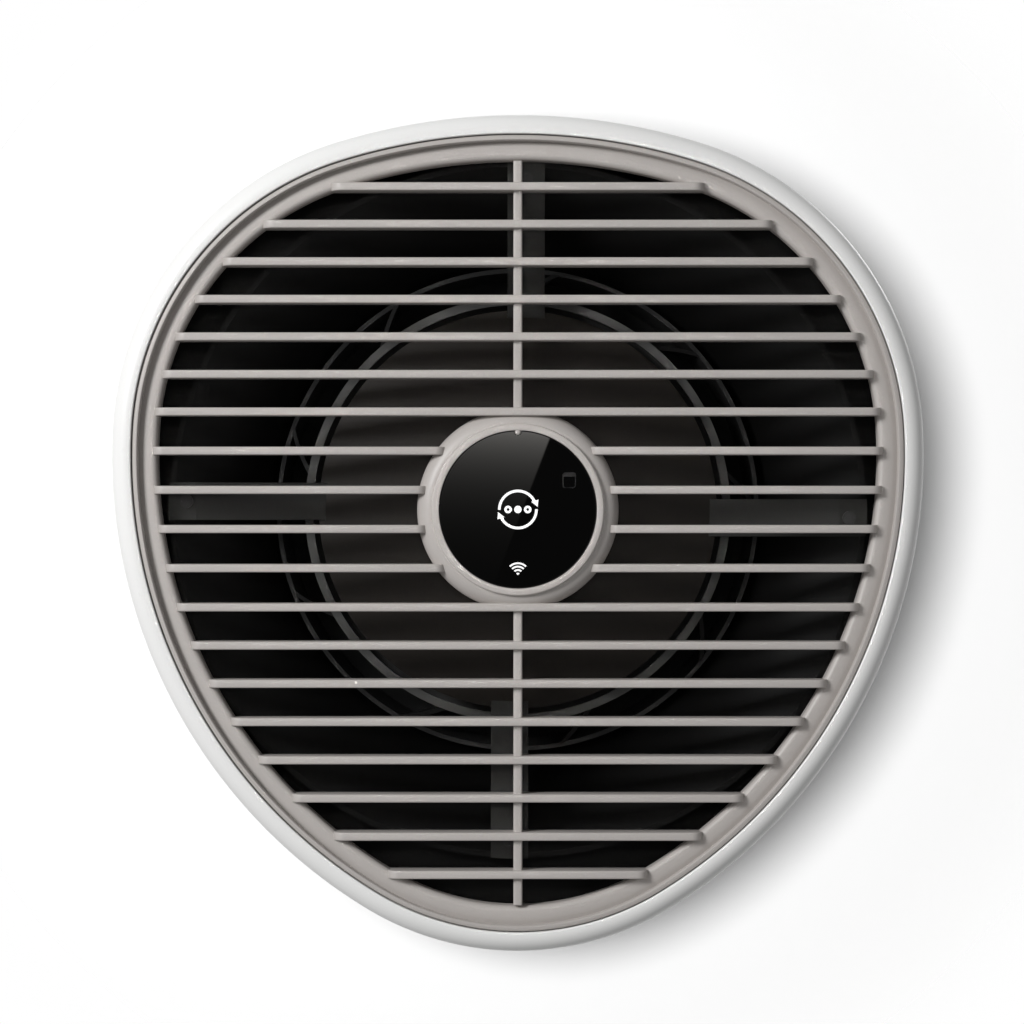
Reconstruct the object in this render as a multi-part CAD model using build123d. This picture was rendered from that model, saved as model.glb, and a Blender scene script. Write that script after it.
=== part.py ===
from build123d import *
import os
from math import asin, atan2, cos, degrees, hypot, radians, sin, sqrt

# Single-room heat recovery unit for mounting through an outside wall.
# Millimetres.  The duct axis is Y, the origin is where it meets the inner wall face,
# -Y points into the room, +Y outdoors and +Z up.

# Wall and duct
WALL = 300.0                    # wall thickness, inner face at y = 0
SLEEVE_R = 100.0                # outside of the wall sleeve
SLEEVE_WALL = 3.0
BORE_R = SLEEVE_R - SLEEVE_WALL

# Seam curve between the outer shell and the front grille: six tangent arcs
TOP_R = 213.3
CORNER_R = 106.2
SIDE_R = 182.5
BOTTOM_R = 97.2
CORNER = (31.9, 23.1)           # centre of the upper corner arc, right-hand side
BOTTOM = (0.0, -53.8)           # centre of the bottom arc

# Room unit stations along the axis
FRONT = -100.0                  # front plane of the slats
SHELL_BACK = -14.0              # the open gap behind it is the extract air inlet
RIM = 7.15                      # width of the shell's rounded rim
SHELL_WALL = 2.55
SEAM_GAP = 0.4
SLIP = 0.3                      # gap between separable pieces

# Grille
SLAT_T = 2.9
SLAT_DEEP = 12.0
SLAT_INSET = 7.7                # slat ends, inside the seam
GAP_MID = 13.97                 # slat pitch beside the hub, above it and below it
GAP_UP = 13.39
GAP_DOWN = 13.63
UP_SLATS = 6
DOWN_SLATS = 7
RIB_W = 3.2
HUB_R = 36.1
HUB_SCREW_R = 30.4
BEZEL_R = 30.75
GLASS_R = 28.1
PIP_R = 1.2

# Supply air path
EYE_R = 64.5
LIP_R = 126.0
LIP_Y = -82.0
FLANGE_Y = -59.5
LAND_R = 119.0                  # sealing land for the extract filter
DOME_R = 72.3
DOME_Y = -86.0
STRUT_W = 13.5
STRUT_T = 3.5
STRUT_SCREW_R = 119.5
STRUT_SHIFT = -3.0              # each strut stands this far off the centre line
WHEEL_R = 77.8
WHEEL_Y = -69.0
BLADES = 9
BLADE_T = 1.6

# Motors, measured from the carrier disc towards the rotor's closed end
SHAFT_R = 3.0
RUNNING = 0.03
TUBE_R = 9.05
BEARING_R = 6.5
STATOR_R = 28.2
MAGNET_R = 32.4
CUP_R = 34.0
TEETH = 9
TOOTH_W = 4.0

# Extract filter, exchanger core and exhaust
FILTER_R = (105.0, 117.0)
FILTER_Y = (-24.2, -5.0)
PLATE_T = 4.0
SCREW_R = 126.0                 # wall screws, radius of their circle
CORE_R = 86.0
CORE_WALL = 3.0
CORE_Y = (22.0, 250.0)
CORE_PLATES = 19
DUCT_R = 82.5
DUCT_WALL = 2.5
FAN_TIP_R = 78.6
FAN_BLADES = 7
HOOD_R = 125.0
HOOD_FRONT = 356.0
LOUVRES = 13
LOUVRE_PITCH = 17.0


# ---------------------------------------------------------------- drawing helpers

def level(y):
    """Plane across the duct axis at y; its x is X and its y is Z."""
    return Plane.XZ.offset(-y)


def slab(face, front, back):
    """A face drawn across the axis, made solid from front to back."""
    return extrude(level(back) * face, amount=back - front)


def disc(radius, front, back, x=0.0, z=0.0):
    return Pos(x, 0, z) * slab(Circle(radius), front, back)


def ring(outer, inner, front, back, x=0.0, z=0.0):
    return Pos(x, 0, z) * slab(Circle(outer) - Circle(inner), front, back)


def block(x, y, z):
    """Box from three (low, high) pairs."""
    middle = [(low + high) / 2 for low, high in (x, y, z)]
    return Pos(*middle) * Box(*[high - low for low, high in (x, y, z)])


def turned(*corners):
    """Body of revolution about the duct axis, from (radius, y) corners."""
    return revolve(make_face(Polyline(*corners, close=True)), Axis.Y)


def turn(part, angle):
    """Turn a part about the duct axis, anticlockwise seen from the room."""
    return Rot(0, -angle, 0) * part


def around(part, count, start=0.0):
    return [turn(part, start + 360 * k / count) for k in range(count)]


def both_sides(places):
    """Right-hand (x, z, angle) places and their mirror images."""
    return places + [(-x, z, 180 - angle) for x, z, angle in places]


def join(first, rest):
    """One solid from pieces that touch or overlap."""
    return first.fuse(*rest).clean()


def export(node, shape):
    """Write a node; pieces that stay apart are kept as a group of solids."""
    solids = list(shape) if isinstance(shape, (list, tuple)) else shape.solids()
    whole = solids[0] if len(solids) == 1 else Compound(children=solids)
    export_step(whole, os.path.join("parts", node + ".step"))


# ---------------------------------------------------------------- seam curve

def top_centre():
    rise = sqrt((TOP_R - CORNER_R) ** 2 - CORNER[0] ** 2)
    return (0.0, CORNER[1] - rise)


def side_centre():
    """Centre of the right-hand side arc, tangent to the corner and bottom arcs."""
    dx, dz = CORNER[0] - BOTTOM[0], CORNER[1] - BOTTOM[1]
    apart = hypot(dx, dz)
    near, far = SIDE_R - BOTTOM_R, SIDE_R - CORNER_R
    along = (near ** 2 - far ** 2 + apart ** 2) / (2 * apart)
    across = sqrt(near ** 2 - along ** 2)
    ux, uz = dx / apart, dz / apart
    return (BOTTOM[0] + ux * along - uz * across, BOTTOM[1] + uz * along + ux * across)


def bearing_of(start, end):
    return degrees(atan2(end[1] - start[1], end[0] - start[0]))


TOP = top_centre()
SIDE = side_centre()
TOP_TURN = bearing_of(TOP, CORNER)
SIDE_TURN = bearing_of(SIDE, CORNER)
BOTTOM_TURN = bearing_of(SIDE, BOTTOM)
RIGHT_ARCS = (
    (TOP, TOP_R, TOP_TURN, 90.0),
    (CORNER, CORNER_R, SIDE_TURN, TOP_TURN),
    (SIDE, SIDE_R, BOTTOM_TURN, SIDE_TURN),
    (BOTTOM, BOTTOM_R, -90.0, BOTTOM_TURN),
)


def outline_edges(grow=0.0):
    right = [CenterArc(c, r + grow, low, high - low) for c, r, low, high in RIGHT_ARCS]
    return right + [mirror(edge, about=Plane.YZ) for edge in right]


def outline(grow=0.0):
    """Face inside the seam curve, grown outwards by grow."""
    return make_face(outline_edges(grow))


def half_width(z, grow=0.0):
    """Distance from the axis to the grown seam curve at height z."""
    for (cx, cz), radius, low, high in RIGHT_ARCS:
        reach = (z - cz) / (radius + grow)
        if abs(reach) <= 1 and low <= degrees(asin(reach)) <= high:
            return cx + (radius + grow) * cos(asin(reach))
    raise ValueError("height outside the seam curve")


def beside_seam(arc, angle, grow):
    """Place (x, z, outward angle) on one of the right-hand arcs."""
    (cx, cz), radius = RIGHT_ARCS[arc][:2]
    reach = radius + grow
    return (cx + reach * cos(radians(angle)), cz + reach * sin(radians(angle)), angle)


BOSSES = both_sides([beside_seam(1, 40, -4.0), beside_seam(2, -48, -4.0)])
CLIPS = both_sides([beside_seam(1, 20, 2.0), beside_seam(2, -25, 2.0)])


# ---------------------------------------------------------------- front grille

def ring_section():
    """Cross-section of the grille's frame: lip, step, cove and rolled inner edge.

    Drawn with x inwards from the seam and y along the duct axis.
    """
    lip_y = FRONT + 1.2
    edges = [
        Polyline((SEAM_GAP, -89), (SEAM_GAP, lip_y + 0.5)),
        ThreePointArc((SEAM_GAP, lip_y + 0.5), (SEAM_GAP + 0.15, lip_y + 0.15), (SEAM_GAP + 0.5, lip_y)),
        Polyline((SEAM_GAP + 0.5, lip_y), (2.1, lip_y - 0.1), (2.2, lip_y + 1.3), (2.8, lip_y + 1.6)),
        ThreePointArc((2.8, lip_y + 1.6), (4.5, -95.0), (7.2, -94.0)),
        ThreePointArc((7.2, -94.0), (8.6, -93.4), (9.2, -92.0)),
        Polyline((9.2, -92.0), (9.2, -88.5), (7.4, -88.5), (7.4, -91.5), (3.0, -94.2)),
        Polyline((3.0, -94.2), (2.4, -89), (SEAM_GAP, -89)),
    ]
    return make_face(edges)


def grille_frame():
    """The section swept along every arc of the seam, as a body of revolution each."""
    pieces = []
    for (cx, cz), radius, low, high in RIGHT_ARCS:
        section = mirror(ring_section(), about=Plane.YZ)
        arm = Pos(radius, 0, 0) * section
        swept = revolve(arm, Axis.Y, revolution_arc=high - low)
        pieces.append(Pos(cx, 0, cz) * turn(swept, high))
    pieces += [mirror(piece, about=Plane.YZ) for piece in pieces]
    return join(pieces[0], pieces[1:])


def slat(start, end, z):
    """Flat bar with its front ends rounded in plan and its front edges softened."""
    corner = 4.0
    back = FRONT + SLAT_DEEP
    plan = make_face([
        Polyline((start, FRONT + corner), (start, back), (end, back), (end, FRONT + corner)),
        RadiusArc((start, FRONT + corner), (start + corner, FRONT), corner),
        Line((start + corner, FRONT), (end - corner, FRONT)),
        RadiusArc((end - corner, FRONT), (end, FRONT + corner), corner),
    ])
    bar = extrude(plan, amount=SLAT_T / 2, both=True)
    outer = bar.edges().filter_by(lambda edge: abs(edge.center().Z) > SLAT_T / 2 - 0.01)
    front = outer.filter_by(lambda edge: edge.center().Y < FRONT + corner)
    return Pos(0, 0, z) * fillet(front, 0.5)


def slat_heights():
    """Heights of the full-width slats, and of the ones that stop at the hub."""
    first = 2.5 * GAP_MID
    full = [first + GAP_UP * k for k in range(UP_SLATS + 1)]
    full += [-first - GAP_DOWN * k for k in range(DOWN_SLATS + 1)]
    return full, [GAP_MID * k for k in (-1.5, -0.5, 0.5, 1.5)]


def hub():
    """Cup in the middle of the grille that carries the display."""
    cup = turned((HUB_R, -88), (HUB_R, -96.8), (BEZEL_R + 0.2, -100.3), (BEZEL_R + 0.2, -98.2),
                 (27, -98.2), (27, -96.4), (33.6, -96.4), (33.6, -88))
    return cup


def hub_screws(part):
    """Three copies of a part on the circle of the hub's screws."""
    return [turn(Pos(HUB_SCREW_R, 0, 0) * part, angle) for angle in (90, 210, 330)]


def front_grille():
    inner_end = 33.8
    full, cut = slat_heights()
    bars = []
    for z in full:
        reach = half_width(z, -SLAT_INSET)
        bars.append(slat(-reach, reach, z))
    for z in cut:
        reach = half_width(z, -SLAT_INSET)
        start = sqrt(inner_end ** 2 - z ** 2)
        bars += [slat(start, reach, z), slat(-reach, -start, z)]
    rib_y = (FRONT + 1.5, FRONT + SLAT_DEEP)
    top_z, bottom_z = TOP[1] + TOP_R - 9.5, BOTTOM[1] - BOTTOM_R + 9.5
    bars.append(block((-RIB_W / 2, RIB_W / 2), rib_y, (HUB_R - 1, top_z)))
    bars.append(block((-RIB_W / 2, RIB_W / 2), rib_y, (bottom_z, 1 - HUB_R)))
    bars = [bar - disc(HUB_R - 2, -96.4, -80) for bar in bars]
    posts = hub_screws(disc(2.6, -96.5, -90.6))
    inside = slab(outline(-SEAM_GAP), -95, -88)
    pads = [disc(5.0, -94.5, -88.4, x, z) & inside for x, z, angle in BOSSES]
    pockets = [disc(4.02, -91.4, -88, x, z) for x, z, angle in BOSSES]
    pilots = hub_screws(disc(1.0, -95, -90))
    return join(grille_frame(), bars + [hub()] + posts + pads) - pockets - pilots


def grille_magnets():
    return [disc(4.0, -91.4, -88.4, x, z) for x, z, angle in BOSSES]


def bezel_ring():
    soft = 0.5
    front = -101.2
    band = turned((GLASS_R + 0.05, -98.2), (GLASS_R + 0.05, front + soft), (GLASS_R + 0.05 + soft, front),
                  (BEZEL_R - soft, front), (BEZEL_R, front + soft), (BEZEL_R, -98.2))
    pip = disc(PIP_R, front + 0.2, -100.0, 0, GLASS_R + 0.2)
    return join(band, [pip])


def display_glass():
    return disc(GLASS_R, -100.9, -98.2) - disc(PIP_R + 0.1, -102, -98, 0, GLASS_R + 0.2)


def display_board():
    board = disc(26.6, -98.1, -96.5)
    return join(board, [block((-9, 9), (-96.6, -94), (-18, -11)), block((-5, 5), (-96.6, -95), (-3, 7))])


def display_housing():
    """Rear cap of the hub, with a rib ring and three screw holes."""
    cap = disc(33.4, -90.5, -88.2)
    return join(cap, [ring(27.5, 25.9, -94.5, -90.4)]) - hub_screws(disc(1.4, -91, -88))


def pan_screw(radius, length, seat, way):
    """Pan-head screw on the duct axis: its head rests on seat, its shank runs along way."""
    tall = radius * 1.3
    head = disc(radius * 1.9, *sorted((seat, seat - way * tall)))
    shank = disc(radius, *sorted((seat - way * tall / 2, seat + way * length)))
    slot_y = sorted((seat - way * (tall - 0.5), seat - way * (tall + 0.5)))
    return join(head, [shank]) - block((-radius * 1.3, radius * 1.3), slot_y, (-0.3, 0.3))


def housing_screws():
    return hub_screws(pan_screw(1.0, 5.2, -88.2, -1))


# ---------------------------------------------------------------- room unit

def outer_shell():
    """White cover: thin skirt, rounded front rim, inner guide and four screw bosses."""
    body = slab(outline(RIM), FRONT + 0.5, SHELL_BACK)
    edge = body.faces().sort_by(Axis.Y)[0].outer_wire().edges()
    body = fillet(edge, RIM - 1.0)
    body -= slab(outline(RIM - SHELL_WALL), FRONT + 4.5, SHELL_BACK + 1)
    body -= slab(outline(), FRONT - 1, SHELL_BACK + 1)
    guide = slab(outline(1.6) - outline(), FRONT + 4, FRONT + 14)
    bosses = []
    for x, z, angle in BOSSES:
        web = turn(block((-1, 8.0), (-86, -62), (-2.2, 2.2)), angle)
        bosses += [disc(5.0, -86, -62, x, z), Pos(x, 0, z) * web]
    pilots = [disc(1.6, -78, -60, x, z) for x, z, angle in BOSSES]
    outside = slab(outline(RIM - 0.5), -87, -61)
    trimmed = [boss & outside for boss in bosses]
    return join(body, [guide] + trimmed) - pilots


def keeper_plates():
    return [disc(3.9, -88.0, -86.0, x, z) for x, z, angle in BOSSES]


def diffuser_bowl():
    """Air bowl, the flange that carries it in the shell and the land over the filter."""
    wall = 2.0
    root, knee, middle, lip = (87.5, -26.0), (89.0, -47.0), (101.0, -67.5), (LIP_R - wall, LIP_Y)
    inner = [Line(root, knee), ThreePointArc(knee, middle, lip)]
    outer = [Line((LIP_R, LIP_Y), lip),
             ThreePointArc((LIP_R, LIP_Y), (middle[0] + wall, middle[1] + wall), (knee[0] + wall, knee[1])),
             Line((knee[0] + wall, knee[1]), (root[0] + wall, root[1])),
             Line((root[0] + wall, root[1]), root)]
    wall_solid = revolve(make_face(inner + outer), Axis.Y)
    land = ring(LAND_R, EYE_R - 2.5, -27, FILTER_Y[0] - 0.4)
    flange = slab(outline(RIM - SHELL_WALL - 0.3) - Circle(97.2), FLANGE_Y - 2.4, FLANGE_Y)
    holes = [disc(1.9, FLANGE_Y - 3, FLANGE_Y + 1, x, z) for x, z, angle in BOSSES]
    seats = around(disc(3.2, LIP_Y, LIP_Y + 9, STRUT_SCREW_R, STRUT_SHIFT), 4)
    pilots = around(disc(1.3, LIP_Y - 1, LIP_Y + 5.5, STRUT_SCREW_R, STRUT_SHIFT), 4)
    return join(wall_solid, [land, flange] + seats) - holes - pilots


def bowl_screws():
    screw = pan_screw(1.55, 12.0, FLANGE_Y, -1)
    return [Pos(x, 0, z) * screw for x, z, angle in BOSSES]


def inlet_duct():
    """Tube from the exchanger to the supply wheel's eye, with a bell at the wheel end."""
    bell = turned((EYE_R - 2.5, -24.0), (EYE_R, -24.0), (EYE_R, 18.7), (EYE_R - 2.5, 18.7))
    collar = ring(EYE_R + 5, EYE_R - 0.5, FILTER_Y[0] - 0.4, -22.0)
    return join(bell, [collar])


def duct_seal():
    return ring(EYE_R + 3, EYE_R - 2.5, 18.7, CORE_Y[0] - SLIP)


def strut(widen=0.0):
    """One carrier arm, drawn along +X and set off the centre line."""
    flat_r = LIP_R - 10
    side = make_face(Polyline((60, -74), (66, -76), (flat_r, LIP_Y - STRUT_T), (LIP_R + 1, LIP_Y - STRUT_T),
                              (LIP_R + 1, LIP_Y), (flat_r, LIP_Y), (66, -72), (60, -71.5), close=True))
    half = STRUT_W / 2 + widen
    return Pos(0, 0, STRUT_SHIFT) * extrude(side, amount=half, both=True)


def motor_carrier():
    """Carrier disc with the bearing tube and four pinwheel arms out to the bowl's lip."""
    plate = disc(68.2, -74, -71.5)
    tube = disc(TUBE_R, -74, -42.5)
    bore = disc(BEARING_R, -75, -42)
    reach = join(disc(LIP_R, LIP_Y - STRUT_T, LIP_Y), [disc(LIP_R - 8, LIP_Y, -60)])
    arms = [arm & reach for arm in around(strut(), 4)]
    holes = around(disc(1.6, LIP_Y - 5, LIP_Y + 1, STRUT_SCREW_R, STRUT_SHIFT), 4)
    return join(plate, [tube] + arms) - bore - holes


def strut_screws():
    screw = pan_screw(1.25, 8.5, LIP_Y - STRUT_T, 1)
    return around(Pos(STRUT_SCREW_R, 0, STRUT_SHIFT) * screw, 4)


def motor_dome():
    """Shallow spherical cap with a short skirt, notched over the carrier's arms."""
    wall, edge_y, back = 2.0, -76.0, -71.5
    curve = (DOME_R ** 2 + (edge_y - DOME_Y) ** 2) / (2 * (edge_y - DOME_Y))

    def cap_y(radius, depth):
        bend = curve - depth
        return DOME_Y + depth + bend - sqrt(bend ** 2 - radius ** 2)

    inner_r = DOME_R - wall
    outside = [(r, cap_y(r, 0)) for r in (0, DOME_R / 2, DOME_R)]
    inside = [(r, cap_y(r, wall)) for r in (inner_r, inner_r / 2, 0)]
    skirt = Polyline(outside[2], (DOME_R, back), (inner_r, back), inside[0])
    profile = [ThreePointArc(*outside), skirt, ThreePointArc(*inside), Line(inside[2], outside[0])]
    return revolve(make_face(profile), Axis.Y) - around(strut(0.1), 4)


def motor_span(base, way, near, far):
    """Stations along the axis, counted from a motor's carrier disc; low one first."""
    return sorted((base + way * near, base + way * far))


def stator(base, way):
    """Laminated core with nine wound teeth."""
    front, back = motor_span(base, way, 14, 30)
    yoke = ring(14.5, TUBE_R, front, back)
    tooth = block((14, 25), (front, back), (-TOOTH_W / 2, TOOTH_W / 2))
    shoe = ring(STATOR_R, 25, front, back) & block((20, 30), (front, back), (-8.2, 8.2))
    return join(yoke, around(tooth, TEETH) + around(shoe, TEETH))


def windings(base, way):
    front, back = motor_span(base, way, 11.5, 32.5)
    low, high = motor_span(base, way, 14, 30)
    coil = block((15.5, 24.2), (front, back), (-4.4, 4.4))
    coil = fillet(coil.edges().filter_by(Axis.X), 1.6)
    coil -= block((15, 25), (low, high), (-TOOTH_W / 2, TOOTH_W / 2))
    return around(coil, TEETH)


def bearings(base, way):
    races = []
    for near in (3, 25.5):
        front, back = motor_span(base, way, near, near + 5)
        race = ring(BEARING_R, SHAFT_R + RUNNING, front, back)
        races.append(race - ring(5.5, 4.1, front - 1, front + 0.5) - ring(5.5, 4.1, back - 0.5, back + 1))
    return races


def rotor_cup(base, way):
    """Steel cup that closes over the stator and holds the shaft."""
    front, back = motor_span(base, way, 10, 39)
    cup = ring(CUP_R, MAGNET_R, front, back)
    low, high = motor_span(base, way, 37.5, 39)
    boss_low, boss_high = motor_span(base, way, 33.5, 39)
    closed = join(cup, [disc(MAGNET_R, low, high), disc(8, boss_low, boss_high)])
    return closed - disc(SHAFT_R, low - 9, high + 9)


def magnet_ring(base, way):
    front, back = motor_span(base, way, 13, 31)
    segment = ring(MAGNET_R, 29.2, front, back) & block((20, 34), (front, back), (-8.4, 8.4))
    return around(segment, 10)


def shaft(base, way):
    front, back = motor_span(base, way, 1.0, 39)
    return disc(SHAFT_R, front, back)


SUPPLY_MOTOR = (-74.0, 1)
EXHAUST_MOTOR = (291.0, -1)


def swept_blade(outer_r, inner_r, outer_angle, sweep):
    """Outline of one blade seen along the axis, of constant thickness."""
    half = BLADE_T / 2
    tip, root = [], []
    for k in range(3):
        share = k / 2
        radius = outer_r + (inner_r - outer_r) * share
        angle = outer_angle + sweep * share ** 0.9
        spread = degrees(half * 1.55 / radius)
        tip.append((radius * cos(radians(angle - spread)), radius * sin(radians(angle - spread))))
        root.append((radius * cos(radians(angle + spread)), radius * sin(radians(angle + spread))))
    ends = [Line(tip[2], root[2]), Line(root[0], tip[0])]
    return make_face([ThreePointArc(*tip), ThreePointArc(*root)] + ends)


def supply_impeller():
    """Hub of the mixed-flow wheel: a cone with a bright rim, closed behind the motor."""
    hub_back = SUPPLY_MOTOR[0] + 39
    inner_r = WHEEL_R - 3.0
    return turned((WHEEL_R, WHEEL_Y), (WHEEL_R, WHEEL_Y + 4), (46, hub_back + 2), (0, hub_back + 2),
                  (0, hub_back), (44.5, hub_back), (inner_r, WHEEL_Y + 3.2), (inner_r, WHEEL_Y))


def supply_shroud():
    """Ring that closes the blades' outer edges and meets the inlet duct."""
    return turned((87.3, -58), (88.9, -58), (88.9, -56), (86, -45), (68.6, -30.4), (66.8, -30.4), (84.4, -46))


def supply_blades():
    """Swept blades, each welded to the hub cone inside and to the shroud outside."""
    passage = turned((WHEEL_R - 1.0, WHEEL_Y + 2.5), (88.2, -57.6), (88.2, -56), (85.4, -45.4), (67.6, -30.9),
                     (47, -32.6), (44.5, -34.2))
    blade = slab(swept_blade(88.2, 46.0, 80.0, 34.0), WHEEL_Y, -30) & passage
    return around(blade - supply_impeller() - supply_shroud(), BLADES)


def contact_plug():
    """Block that brings power from the wall plate to the room unit when it is pushed on."""
    body = block((-9, 9), (FLANGE_Y, -17.3), (-140, -133))
    pins = [disc(0.8, -17.4, -16.3, x, -136.5) for x in (-5, 0, 5)]
    return join(body, pins)


# ---------------------------------------------------------------- extract filter

def filter_frame():
    inner, outer = FILTER_R
    front, back = FILTER_Y
    rings = [ring(outer + 1.5, inner - 1.5, front, front + 2), ring(outer + 1.5, inner - 1.5, back - 2, back)]
    posts = around(block((outer, outer + 1.5), (front, back), (-2, 2)), 12)
    tabs = around(block((inner - 7, inner - 1), (front, front + 2), (-6, 6)), 2, 90)
    return join(rings[0], rings[1:] + posts + tabs)


def filter_pleats():
    inner, outer = FILTER_R
    return ring(outer - 0.2, inner, FILTER_Y[0] + 2, FILTER_Y[1] - 2)


# ---------------------------------------------------------------- exchanger core

def core_casing():
    front, back = CORE_Y
    tube = ring(CORE_R, CORE_R - CORE_WALL, front, back)
    port = block((CORE_R - 8, CORE_R + 8), (0, 24), (-9, 9))
    room_ports = around(Pos(0, front + 10, 0) * port, 10)
    outer_ports = around(Pos(0, back - 34, 0) * port, 10)
    return tube - room_ports - outer_ports


def core_plates():
    """Thin parallel plates, one flow on each side of every plate."""
    pitch = 8.4
    plates = []
    for k in range(CORE_PLATES):
        z = (k - (CORE_PLATES - 1) / 2) * pitch
        reach = sqrt((CORE_R - CORE_WALL - 0.4) ** 2 - (abs(z) + 0.4) ** 2)
        plates.append(block((-reach, reach), (CORE_Y[0] + 8, CORE_Y[1] - 8), (z - 0.4, z + 0.4)))
    return plates


def core_grid(front, back):
    """End frame that spaces the plates and closes every other channel."""
    rim = ring(CORE_R - CORE_WALL, 78, front, back)
    inside = disc(79, front, back)
    bars = [block((x - 1, x + 1), (front, back), (-80, 80)) & inside for x in (-54, -27, 0, 27, 54)]
    return join(rim, bars)


def core_seal():
    """Lip seal round the middle of the casing, between room-side and outdoor-side air."""
    middle = sum(CORE_Y) / 2
    tip = BORE_R - 0.4
    return turned((CORE_R, middle - 6), (CORE_R + 2, middle - 6), (tip, middle - 3), (tip, middle - 1.5),
                  (CORE_R + 3, middle + 1), (CORE_R + 2, middle + 6), (CORE_R, middle + 6))


def core_end_seal():
    return ring(CORE_R - 1, 78, CORE_Y[1], CORE_Y[1] + 2 - SLIP)


def core_handle():
    """Bail for drawing the core out of the sleeve."""
    front = CORE_Y[0]
    bar = block((-29, 29), (front - 14, front - 10), (-6, 6))
    legs = [block((x - 2, x + 2), (front - 12, front), (-6, 6)) for x in (-27, 27)]
    return join(bar, legs)


# ---------------------------------------------------------------- wall side

def wall_sleeve():
    """Pipe through the wall; it stands proud of the outer face to seat in the hood's base."""
    return ring(SLEEVE_R, BORE_R, 0, WALL + 2)


def wall_plate():
    plate = slab(outline(3.0) - Circle(BORE_R), -PLATE_T, 0)
    screw_holes = around(disc(2.75, -PLATE_T - 1, 1, SCREW_R), 4)
    groove = ring(110, 104, -2, 1)
    entry = turn(disc(5.5, -PLATE_T - 1, 1, 127.0), 205)
    return plate - screw_holes - groove - entry


def plate_seal():
    return ring(110, 104, -2, 0)


def plate_clips():
    """Spring leaves that hold the room unit's skirt."""
    leaf = join(block((-0.6, 0.6), (-27, -PLATE_T), (-6, 6)), [block((0, 2.0), (-24, -20), (-4, 4))])
    return [Pos(x, 0, z) * turn(leaf, angle) for x, z, angle in CLIPS]


def cable_grommet():
    grommet = join(ring(5.5, 3.5, -PLATE_T - 2, 0), [ring(7.2, 3.5, -PLATE_T - 2, -PLATE_T)])
    return turn(Pos(127.0, 0, 0) * grommet, 205)


def terminal_block():
    body = block((123.5, 134.5), (-16, -PLATE_T), (-11, 11))
    cuts = [block((121, 126), (-13, -8), (z - 2, z + 2)) for z in (-7, 0, 7)]
    wells = [disc(2.2, -17, -9, 130.5, z) for z in (-7, 0, 7)]
    return turn(body - cuts - wells, 225)


def terminal_screws():
    screw = pan_screw(1.1, 2.0, -11.2, 1)
    return [turn(Pos(130.5, 0, z) * screw, 225) for z in (-7, 0, 7)]


def power_board():
    board = block((124.5, 138), (-10.6, -9), (-20, 20))
    feet = [disc(2, -9.1, -PLATE_T, 131, z) for z in (-17, 17)]
    return turn(join(board, feet), 45)


def board_parts():
    pieces = [
        block((126, 136.5), (-22, -10.6), (-11, 1)),
        disc(4, -22, -10.6, 131, 8.0),
        disc(2.6, -18, -10.6, 129, 15.5),
        block((127, 133), (-16, -10.6), (-18, -13)),
    ]
    return [turn(piece, 45) for piece in pieces]


def contact_socket():
    body = block((-10, 10), (-16, -PLATE_T), (-141, -132))
    wells = [disc(1.5, -17, -12, x, -136.5) for x in (-5, 0, 5)]
    return body - wells


def exhaust_duct():
    """Inner duct that keeps stale air apart from the fresh air around it."""
    return ring(DUCT_R, DUCT_R - DUCT_WALL, CORE_Y[1] + 2, 336)


def exhaust_carrier():
    base = EXHAUST_MOTOR[0]
    plate = disc(36, base - 2.5, base)
    tube = disc(TUBE_R, base - 31.5, base)
    arms = around(block((30, DUCT_R - DUCT_WALL), (base - 4, base), (-3, 3)), 5, 90)
    inside = disc(DUCT_R - DUCT_WALL, base - 5, base + 1)
    return join(plate, [tube] + [arm & inside for arm in arms]) - disc(BEARING_R, base - 40, base + 1)


def exhaust_impeller():
    """Axial wheel with seven pitched blades on a cup-shaped hub."""
    base = EXHAUST_MOTOR[0]
    face = base - 39
    hub_cup = join(ring(CUP_R + 2, CUP_R, face, base - 9), [disc(CUP_R + 2, face - 2, face)])
    blade = Pos(57, base - 27, 0) * Rot(38, 0, 0) * Box(48, 2.0, 34)
    sweep = ring(FAN_TIP_R, CUP_R + 1, face - 6, base - 8)
    return join(hub_cup, around(blade & sweep, FAN_BLADES))


def fresh_filter():
    return ring(BORE_R - 0.2, DUCT_R + 0.2, WALL - 14, WALL - 2)


HOOD_SCREWS = 4
HEAD_SINK_R = 2.7               # recess that keeps the screw heads off the outer wall
HEAD_SEAT = WALL + 2


def hood_base():
    plate = join(ring(HOOD_R, SLEEVE_R + SLIP, WALL, WALL + 2), [ring(HOOD_R, BORE_R, WALL + 2, WALL + 4)])
    holes = around(disc(1.6, WALL - 1, WALL + 5, HOOD_R - 7), HOOD_SCREWS, 45)
    sinks = around(disc(HEAD_SINK_R, WALL - 1, HEAD_SEAT, HOOD_R - 7), HOOD_SCREWS, 45)
    return plate - holes - sinks


def hood_cover():
    """Weather hood: conical skin, screw bosses and the post that steadies the louvres."""
    back = WALL + 4
    skin = turned((HOOD_R, back), (HOOD_R - 11, HOOD_FRONT), (HOOD_R - 18, HOOD_FRONT),
                  (HOOD_R - 18, HOOD_FRONT - 2.5), (HOOD_R - 13.2, HOOD_FRONT - 2.5), (HOOD_R - 2.6, back))
    bosses = around(disc(4.5, back, back + 10, HOOD_R - 7), HOOD_SCREWS, 45)
    pilots = around(disc(1.3, back - 1, back + 8, HOOD_R - 7), HOOD_SCREWS, 45)
    post = block((-1.5, 1.5), (HOOD_FRONT - 5, HOOD_FRONT - 1), (-HOOD_R + 17, HOOD_R - 17))
    return join(skin, bosses + [post]) - pilots


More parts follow.
